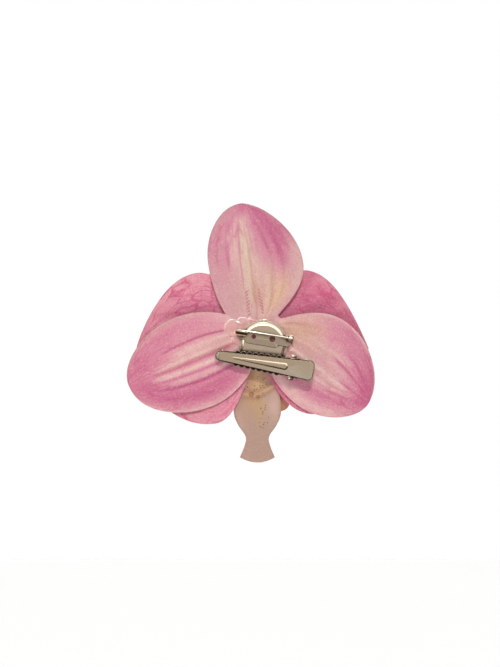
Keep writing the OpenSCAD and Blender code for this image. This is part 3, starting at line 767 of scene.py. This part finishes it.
wire_steel = worn_shaded_nickel("wire_steel", (216, 206, 194), (180, 164, 148), 0.2)


# ---------------- riding and dressing
def put(piece, node_name=None):
    """Fixes a piece to the root body, in the place of a CAD node if one is named."""
    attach(piece, "root")
    if node_name is not None:
        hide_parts(node_name)


def dress(node_name, material):
    node = nodes[node_name]
    node.data.materials.clear()
    node.data.materials.append(material)


def finish_metal(node_name, material, bevel_mm):
    """Gives a CAD node its metal and rounds its edges as pressing leaves them."""
    dress(node_name, material)
    node = nodes[node_name]
    weld = node.modifiers.new("weld", "WELD")
    weld.merge_threshold = 0.002 * MM
    bevel = node.modifiers.new("bevel", "BEVEL")
    bevel.width = bevel_mm * MM
    bevel.segments = 3
    bevel.limit_method = "ANGLE"
    bevel.angle_limit = math.radians(35)
    bevel.harden_normals = True


# ---------------- sepals and petals
def ridge_rings(x, z, angle, level):
    """The back tip and rings of a low oval mound, turned by angle from straight up."""
    turns, count = 20, 5
    rings = []
    for ring in range(count - 1, -1, -1):
        reach = 1 - ring / count
        depth = level + RIDGE_SUNK - RIDGE_HEIGHT * math.sqrt(1 - reach**2)
        rings.append([])
        for k in range(turns):
            a = 2 * math.pi * k / turns
            along = RIDGE_HALF_LENGTH * reach * math.cos(a)
            across = -RIDGE_HALF_WIDTH * reach * math.sin(a)
            rings[-1].append((x + along * math.sin(angle) + across * math.cos(angle), depth,
                              z + along * math.cos(angle) - across * math.sin(angle)))
    return (x, level - RIDGE_HEIGHT + RIDGE_SUNK, z), rings


def make_ridges(sheet, depth):
    """Plain slanting ridges in a column on each side of the upper sepal's midrib."""
    bearing = math.radians(UPPER_SEPAL[1])

    def depth_at(x, z):
        gap = np.hypot(sheet.x + HUB[0] - x, sheet.z + HUB[1] - z)
        return float(depth[gap.argmin()])

    for side, offset in RIDGE_COLUMNS:
        points, faces = [], []
        for step in range(RIDGES):
            away = RIDGES_FROM + step * RIDGE_PITCH
            x = HUB[0] + away * math.sin(bearing) + offset * math.cos(bearing)
            z = HUB[1] + away * math.cos(bearing) - offset * math.sin(bearing)
            level = depth_at(x, z)
            tip, rings = ridge_rings(x, z, math.copysign(RIDGE_LEAN, -offset), level)
            add_capped_rings(points, faces, tip, rings, (x, level + RIDGE_SUNK, z))
        ridges = mesh_piece("sepal_ridges_" + side, points, faces, sepal_latex)
        add_colour(ridges, "paint", even_paint(RIDGE_PINK, points), LATEX_SHARE)
        add_vector(ridges, "lobe", np.tile((0.05, 0.25, 0.0), (len(points), 1)))
        put(ridges)


def put_layer(piece, sheet, node_name):
    """Puts a moulded layer on the column and works out how big it lies flat."""
    put(piece, node_name)
    size, area = sheet.flat_size()


def make_sepals():
    """The upper layer, in one moulded sheet with its ridges."""
    sheet = Sheet((UPPER_SEPAL, RIGHT_SEPAL, LEFT_SEPAL), SEPAL_HUB_R, HOLE_R, SPOKES, SEPAL_RINGS)
    depth = sepal_depth(sheet)
    thickness = SHEET_T * (1 - EDGE_THINNING * smooth(0.94, 1, sheet.s))
    piece = sheet_piece("sepals", sheet, depth, thickness, sepal_latex, sepal_paint(sheet), HUB)
    put_layer(piece, sheet, "sepal_sheet")
    make_ridges(sheet, depth)


def make_petals():
    """The lower layer, in one moulded sheet."""
    sheet = Sheet((RIGHT_PETAL, LEFT_PETAL), PETAL_HUB_R, HOLE_R, SPOKES, PETAL_RINGS)
    piece = sheet_piece("petals", sheet, petal_depth(sheet), SHEET_T, petal_latex,
                        petal_paint(sheet), HUB)
    put_layer(piece, sheet, "petal_sheet")


# ---------------- lip
def lip_depth(z):
    return LIP_Y + LIP_SLOPE * np.maximum(0, -z - LIP_FLAT)


def catmull_rom(stations, steps):
    """Smooth rows through given stations."""
    stations = np.array(stations, float)
    padded = np.concatenate([stations[:1], stations, stations[-1:]])
    rows = []
    for k in range(len(stations) - 1):
        a, b, c, d = padded[k:k + 4]
        for f in np.arange(steps) / steps:
            rows.append(0.5 * (2 * b + (c - a) * f + (2 * a - 5 * b + 4 * c - d) * f**2
                               + (3 * b - a - 3 * c + d) * f**3))
    rows.append(stations[-1])
    return np.array(rows)


def lip_strap(x, z):
    """The moulded band across the back of the lip, which climbs to the right."""
    middle = -26.6 + 0.3 * (x + np.sqrt(x**2 + 2)) + 0.015 * np.minimum(x, 0) ** 2
    return bell(z, middle, 1.1)


def lip_strap_edges(x, z):
    """Thin lines above and below the band."""
    return np.maximum(lip_strap(x, z - 1.2), lip_strap(x, z + 1.2)) - lip_strap(x, z)


def lip_paint(x, z, u):
    """Soft patches of colour, one over the other; u is the place across, from -1 to 1."""
    patches = (
        ((202, 158, 116), 0.95 * smooth(-40, -26, z) * bell(x, -2, 6.5)),
        ((206, 168, 108), 0.7 * bell(x, 1, 2.2) * bell(z, -30, 9)),
        ((204, 148, 112), 0.8 * bell(x, -3, 2) * smooth(-27, -18, z)),
        ((216, 176, 126), 0.8 * bell(x, 0, 1.8) * smooth(-27, -22, z)),
        ((208, 146, 128), 0.9 * smooth(0.5, 2.5, x) * smooth(-23, -17, z)),
        # The next two pale patches, on the lip's flanks, are painted highlights.
        ((216, 182, 172), 0.9 * bell(u, 0.75, 0.4) * bell(z, -31, 7)),
        ((204, 164, 150), 0.8 * bell(u, -0.85, 0.3) * bell(z, -33, 8)),
        ((190, 152, 142), 0.6 * smooth(40, 54, -z)),
        ((200, 152, 110), 0.9 * lip_strap(x, z)),
        ((160, 104, 78), 0.6 * lip_strap_edges(x, z)),
        ((172, 124, 112), 0.5 * smooth(0.88, 1, np.abs(u))),
    )
    colour = even_paint(LIP_BEIGE, x)
    for target, mask in patches:
        colour = colour + (np.array(target, float) - colour) * mask[:, None]
    return colour


def lip_mesh():
    """Points, faces and paint of the tongue, with its band, crown and keel."""
    rows = catmull_rom(LIP_STATIONS, LIP_STEPS)
    count = len(rows)
    i, u = np.meshgrid(np.arange(count), np.linspace(-1, 1, LIP_COLUMNS), indexing="ij")
    i, u = i.ravel(), u.ravel()
    station, width = rows[i, 0], rows[i, 1]
    z = station - LIP_FOOT_BOW * (1 - u**2) * (i / (count - 1)) ** 6
    x = u * (width - np.where(u > 0, LIP_RIGHT_TRIM, 0))
    raised = 0.35 * lip_strap(x, z)
    crown = 0.5 * (1 - u**2) * smooth(10, 25, -z)
    keel = 0.25 * bell(x, -1.5, 1.6) * smooth(4, 8, -z) * (1 - smooth(40, 50, -z))
    depth = lip_depth(z) - raised - crown * 0.6 - keel
    back = np.stack([x + HUB[0], depth, z + HUB[1]], axis=-1)
    thin = 1 - 0.4 * smooth(0.85, 1, np.abs(u))
    front = back + np.stack([0 * x, SHEET_T * thin + raised * 0.5, 0 * x], axis=-1)
    # The rim runs backwards, because this grid's faces run anticlockwise from the back.
    rim = grid_rim(count, LIP_COLUMNS)[::-1]
    out = back[rim] - back.mean(axis=0)
    out[:, 1] = 0
    out = out / np.linalg.norm(out, axis=1)[:, None] * 0.1
    points, faces = thin_solid(count, LIP_COLUMNS, False, back, front, [(rim, out)])
    paint = lip_paint(x, z, u)
    return points, faces, np.concatenate([paint, paint, paint[rim]])


def make_lip():
    points, faces, paint = lip_mesh()
    piece = mesh_piece("lip", points, faces, lip_skin)
    add_colour(piece, "paint", paint, LIP_SHARE)
    put(piece, "lip_blade")


def peg_mesh(x, z, radius, start):
    """A pin with a rounded head at its back end, as points and faces."""
    profile = ((0.55, 0.02), (0.9, 0.12), (1.0, 0.3), (1.0, PEG_LENGTH / 2), (1.0, PEG_LENGTH))
    turns = 32
    rings = [[(x + radius * reach * math.cos(2 * math.pi * k / turns), start + along,
               z + radius * reach * math.sin(2 * math.pi * k / turns)) for k in range(turns)]
             for reach, along in profile]
    points, faces = [], []
    add_capped_rings(points, faces, (x, start, z), rings, (x, start + PEG_LENGTH, z))
    return points, faces


def make_side_lobes():
    """The lobes behind the lip, and the heads of the pegs that hold them on it."""
    sheet = Sheet((RIGHT_SIDE_LOBE, LEFT_SIDE_LOBE), SIDE_LOBE_HUB_R, SIDE_LOBE_HOLE_R,
                  SIDE_LOBE_SPOKES, SIDE_LOBE_RINGS)
    depth = lip_depth(SIDE_LOBE_BASE[1] + sheet.z) + SHEET_T + SIDE_LOBE_GAP
    past_hub = np.maximum(0, sheet.r - SIDE_LOBE_HUB_R)
    depth = depth + SIDE_LOBE_FLARE * (past_hub / SIDE_LOBE_FLARE_REACH) ** 2
    paint = brush(even_paint(SIDE_LOBE_BROWN, sheet.r), sheet.t, sheet.q, SIDE_LOBE_STROKES)
    base = (HUB[0] + SIDE_LOBE_BASE[0], HUB[1] + SIDE_LOBE_BASE[1])
    piece = sheet_piece("lip_side_wings", sheet, depth, SHEET_T, side_lobe_skin, paint, base,
                        LIP_SHARE)
    put(piece, "lip_side_lobes")
    for name, (x, z, hole_r) in PEGS:
        start = float(lip_depth(z)) - PEG_PROUD
        points, faces = peg_mesh(HUB[0] + x, HUB[1] + z, hole_r - PEG_GAP, start)
        peg = mesh_piece(name, points, faces, side_lobe_skin)
        add_colour(peg, "paint", even_paint(PEG_BROWN, points), LIP_SHARE)
        put(peg)


# ---------------- glue
def glue_mesh(bearings, least_width, drops):
    """Joined round drops beside the disc, from the first bearing to the last."""
    centre_x, centre_z = DISC_RISE * math.sin(FINDING_TILT), DISC_RISE * math.cos(FINDING_TILT)
    turns, steps = 160, 16
    bearing = np.radians(np.linspace(*bearings, turns))
    edge = np.full(turns, DISC_R + least_width)
    for x, z, radius in drops:
        away = math.hypot(x - centre_x, z - centre_z)
        off = bearing - math.atan2(x - centre_x, z - centre_z)
        inside = np.maximum(radius**2 - (away * np.sin(off)) ** 2, 0)
        edge = np.maximum(edge, (away * np.cos(off) + np.sqrt(inside)) * (inside > 0))
    ends = smooth(0, 0.08, np.linspace(0, 1, turns)) * smooth(0, 0.08, np.linspace(1, 0, turns))
    width = (edge - DISC_R) * (0.1 + 0.9 * ends)
    height = GLUE_HEIGHT * np.clip(0.3 + width / 6, 0, 1) * (0.1 + 0.9 * ends)
    b, f = [a.ravel() for a in np.meshgrid(bearing, np.linspace(0, 1, steps), indexing="ij")]
    w, h = np.repeat(width, steps), np.repeat(height, steps)
    r = DISC_R + 0.06 + w * f
    dome = h * np.sqrt(1 - f**4)
    x, z = centre_x + r * np.sin(b), centre_z + r * np.cos(b)
    top = np.stack([x, SEPAL_Y - 0.02 - dome, z], axis=-1)
    bottom = np.stack([x, SEPAL_Y - 0.01 + 0 * x, z], axis=-1)
    count = turns * steps
    face = grid_faces(turns, steps, False)
    rim = grid_rim(turns, steps)
    after = np.roll(rim, -1)
    # The dome and the base face inwards and the side outwards: the looks were set so.
    side = np.stack([rim, after, after + count, rim + count], axis=-1)
    return np.concatenate([top, bottom]), np.concatenate([face[:, ::-1], face + count, side])


def make_glue():
    """Glue squeezed out on the disc's left, and a thinner run on its right."""
    points, faces = glue_mesh(GLUE_DROPS_BEARINGS, 0.5, GLUE_DROPS)
    put(mesh_piece("glue_drops", points, faces, glue, smooth_angle=75), "glue_bead")
    points, faces = glue_mesh(GLUE_RUN_BEARINGS, 0.3, GLUE_RUN)
    put(mesh_piece("glue_run", points, faces, glue, smooth_angle=75))


# ---------------- torsion spring
def finding_point(u, v, n):
    """A place on the finding: along the clip, up the flower and out of its back."""
    sin, cos = math.sin(FINDING_TILT), math.cos(FINDING_TILT)
    return Vector((u * cos + v * sin, -n, v * cos - u * sin)) * MM


def spring_curve():
    """A coil round the pivot pin, with a leg under each jaw."""
    side = COIL_HALF - WIRE_R / 2
    path = [(u, n, -side) for u, n in LOWER_LEG]
    start = math.radians(-90)
    for k in range(COIL_STEPS + 1):
        angle = start - 2 * math.pi * COIL_TURNS * k / COIL_STEPS
        v = -side + 2 * side * k / COIL_STEPS
        path.append((COIL_R * math.cos(angle), COIL_R * math.sin(angle), v))
    path += [(u, n, side) for u, n in UPPER_LEG]
    return [finding_point(PIVOT[0] + u, v, PIVOT[1] + n) for u, n, v in path]


def wire_piece(name, path, radius_mm, material):
    """A round wire along a path, as a mesh."""
    curve = bpy.data.curves.new(name, "CURVE")
    curve.dimensions = "3D"
    curve.bevel_depth = radius_mm * MM
    curve.bevel_resolution = 5
    curve.use_fill_caps = True
    spline = curve.splines.new("POLY")
    spline.points.add(len(path) - 1)
    for point, place in zip(spline.points, path):
        point.co = (*place, 1)
    source = add_object(name + "_source", curve)
    bpy.context.view_layer.update()
    evaluated = source.evaluated_get(bpy.context.evaluated_depsgraph_get())
    mesh = bpy.data.meshes.new_from_object(evaluated)
    bpy.data.objects.remove(source)
    mesh.name = name
    mesh.materials.clear()
    mesh.materials.append(material)
    mesh.shade_smooth()
    return add_object(name, mesh)


def make_spring():
    """The spring, its coil round the pivot pin and a leg under each jaw, in place of the part's
    spring.
    """
    spring = wire_piece("torsion_spring", spring_curve(), DRAWN_WIRE_R, wire_steel)
    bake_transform(spring)
    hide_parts("clip_spring")


# ---------------- all the pieces
make_sepals()
make_petals()
make_lip()
make_side_lobes()
make_glue()
make_spring()

# Carried-over CAD nodes.
dress("column", moulded_plastic("column_plastic", (226, 176, 184), (204, 120, 150), 0.42))
dress("anther_cap", moulded_plastic("anther_plastic", (240, 228, 208), (226, 196, 190), 0.38))
dress("retaining_washer", moulded_plastic("washer_nylon", (220, 216, 206), (200, 192, 180), 0.4))
# The pad under the holes in the bar and disc is dark red-brown, much darker than the glue drops:
# painted shade, for what is seen through the holes.
dress("glue_pad", moulded_plastic("pad_glue_in_painted_shade", (120, 62, 56), (86, 40, 38), 0.25))
finish_metal("disc_plate", plate_nickel, 0.08)
finish_metal("pin_bar", bar_nickel, 0.06)
finish_metal("clip_rivet", plate_nickel, 0.06)
finish_metal("clip_lower_jaw", clip_nickel, 0.08)
finish_metal("clip_lever", clip_nickel, 0.2)
finish_metal("pin_needle", wire_steel, 0.04)
finish_metal("needle_rivet", wire_steel, 0.06)
finish_metal("clip_pivot_pin", bar_nickel, 0.15)


# ---------------- floor, light and camera
FLOOR_HALF = 3.0
FLOOR_DROP = -0.32
CAMERA_PLACE = (-0.00433, -1.2, 0.0121)
CAMERA_LENS = 154.3
LIT_PLACE = (0, 0, 0.01)

# The light from the room and what the metal mirrors, from straight down to straight up.
SOFT_ROOM = ((0.35, (0.22, 0.22, 0.21)), (0.85, (0.38, 0.38, 0.38)))
MIRRORED_ROOM = ((0.2, (0.03, 0.014, 0.012)), (0.45, (0.16, 0.12, 0.1)),
                 (0.5, (0.58, 0.56, 0.53)), (0.58, (0.8, 0.79, 0.77)), (0.8, (2.2, 2.2, 2.15)))


def softbox(name, place, size, power, colour):
    light = bpy.data.lights.new(name, "AREA")
    light.shape = "DISK"
    light.size = size
    light.energy = power
    light.color = colour
    lamp = add_object(name, light)
    lamp.location = place
    towards = Vector(LIT_PLACE) - lamp.location
    lamp.rotation_euler = towards.to_track_quat("-Z", "Y").to_euler()


def pale_floor():
    half, drop = FLOOR_HALF, FLOOR_DROP
    mesh = bpy.data.meshes.new("floor")
    corners = [(-half, -half, drop), (half, -half, drop), (half, half, drop), (-half, half, drop)]
    mesh.from_pydata(corners, [], [(0, 1, 2, 3)])
    n = Nodes("floor_paint", Roughness=0.7, Emission_Strength=0.5, Emission_Color=(1, 1, 1, 1))
    wash = n.noise(n.place((0.01, 0.01, 0.01)), 0.5, 2)
    n.plug("Base Color", n.mix(wash, (246, 246, 246), (250, 250, 249)))
    mesh.materials.append(n.material)
    floor = add_object("floor", mesh)
    floor.visible_glossy = False


def sky_ramp(tree, stops):
    """A background whose colour goes from straight down, at 0, to straight up, at 1."""
    place = tree.nodes.new("ShaderNodeTexCoord")
    split = tree.nodes.new("ShaderNodeSeparateXYZ")
    share = tree.nodes.new("ShaderNodeMapRange")
    share.inputs["From Min"].default_value = -1
    share.inputs["From Max"].default_value = 1
    ramp = tree.nodes.new("ShaderNodeValToRGB")
    while len(ramp.color_ramp.elements) < len(stops):
        ramp.color_ramp.elements.new(0.5)
    for element, (position, colour) in zip(ramp.color_ramp.elements, stops):
        element.position = position
        element.color = (*colour, 1)
    background = tree.nodes.new("ShaderNodeBackground")
    tree.links.new(place.outputs["Generated"], split.inputs[0])
    tree.links.new(split.outputs[2], share.inputs["Value"])
    tree.links.new(share.outputs[0], ramp.inputs[0])
    tree.links.new(ramp.outputs[0], background.inputs["Color"])
    return background.outputs[0]


def studio_world():
    """White behind the object, soft light all round, and a darker room in the metal."""
    world = bpy.data.worlds.new("studio")
    world.use_nodes = True
    tree = world.node_tree
    tree.nodes.clear()
    output = tree.nodes.new("ShaderNodeOutputWorld")
    seen = tree.nodes.new("ShaderNodeBackground")
    seen.inputs["Color"].default_value = (1, 1, 1, 1)
    soft = sky_ramp(tree, SOFT_ROOM)
    mirrored = sky_ramp(tree, MIRRORED_ROOM)
    path = tree.nodes.new("ShaderNodeLightPath")
    not_seen = tree.nodes.new("ShaderNodeMixShader")
    mix = tree.nodes.new("ShaderNodeMixShader")
    link = tree.links.new
    link(path.outputs["Is Glossy Ray"], not_seen.inputs[0])
    link(soft, not_seen.inputs[1])
    link(mirrored, not_seen.inputs[2])
    link(path.outputs["Is Camera Ray"], mix.inputs[0])
    link(not_seen.outputs[0], mix.inputs[1])
    link(seen.outputs[0], mix.inputs[2])
    link(mix.outputs[0], output.inputs["Surface"])
    bpy.context.scene.world = world


def make_camera():
    """A level camera straight behind the flower's back."""
    data = bpy.data.cameras.new("camera")
    data.sensor_width = 36
    data.lens = CAMERA_LENS
    data.clip_start = 0.01
    data.dof.use_dof = False
    camera = add_object("camera", data)
    camera.location = CAMERA_PLACE
    camera.rotation_euler = (math.pi / 2, 0, 0)
    bpy.context.scene.camera = camera


pale_floor()
studio_world()
softbox("key", (0.02, -1.1, 0.52), 0.06, 6.5, (1.0, 0.98, 0.95))
softbox("fill_left", (-0.9, -0.9, 0.35), 0.7, 2.5, (1.0, 0.98, 0.97))
softbox("fill_face", (0.1, 0.9, 0.6), 0.7, 5.0, (1.0, 0.99, 0.98))
make_camera()
bpy.context.scene.view_settings.view_transform = "Standard"
